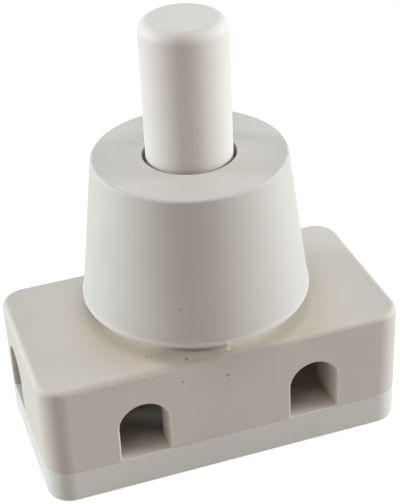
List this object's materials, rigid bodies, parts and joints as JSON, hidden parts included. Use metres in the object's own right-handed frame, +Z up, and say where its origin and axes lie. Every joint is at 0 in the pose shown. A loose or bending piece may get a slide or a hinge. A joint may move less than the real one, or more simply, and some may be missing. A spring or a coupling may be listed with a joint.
{
  "type": "push on push off lamp switch",
  "caption": "White push-on push-off lamp switch: rounded block with arched cable entries, conical screwed collar and a tall round push button over a ratchet contact.",
  "frame": {"origin": "middle of the underside of the base cover", "axes": "+Z up along the push button, X along the block's length, -Y towards the face with two cable entries"},
  "size_m": [0.033, 0.0202, 0.0392],
  "materials": {
    "housing_plastic": "white moulded plastic, satin",
    "cover_plastic": "white moulded plastic, satin",
    "collar_plastic": "white moulded plastic, satin",
    "button_plastic": "white moulded plastic, satin",
    "rotor_plastic": "dark moulded plastic",
    "spring_steel": "drawn wire",
    "pin_steel": "turned steel",
    "screw_steel": "zinc plated",
    "terminal_brass": "stamped brass",
    "contact_bronze": "stamped spring bronze",
    "contact_silver": "silver contact"
  },
  "bodies": {
    "base": {"housing": "housing_plastic", "base_cover": "cover_plastic", "collar": "collar_plastic", "rotor_pin": "pin_steel", "return_spring": "spring_steel", "cover_screw_left": "screw_steel", "cover_screw_right": "screw_steel", "terminal_screw_left": "screw_steel", "terminal_screw_right": "screw_steel", "terminal_strip_left": "terminal_brass", "terminal_strip_right": "terminal_brass", "clamp_washer_left": "terminal_brass", "clamp_washer_right": "terminal_brass", "contact_rivet_left": "contact_silver", "contact_rivet_right": "contact_silver"},
    "button": {"push_button": "button_plastic"},
    "rotor": {"ratchet_rotor": "rotor_plastic", "thrust_washer": "pin_steel", "contact_bridge": "contact_bronze", "bridge_rivets": "contact_bronze"}
  },
  "joints": [
    {"name": "button_press", "type": "slide", "parent": "base", "child": "button", "axis": [0, 0, 1], "range_m": [-0.003, 0], "stiffness_N_per_m": 800, "springref_m": 0.003, "deforming": ["return_spring"]},
    {"name": "rotor_turn", "type": "hinge", "parent": "base", "child": "rotor", "pos_m": [0, 0, 0.0033], "axis": [0, 0, 1], "range_deg": [-36.2, 0]}
  ],
  "couplings": [
    {"joint": "rotor_turn", "follows": "button_press", "rad_per_m": 209.44}
  ]
}
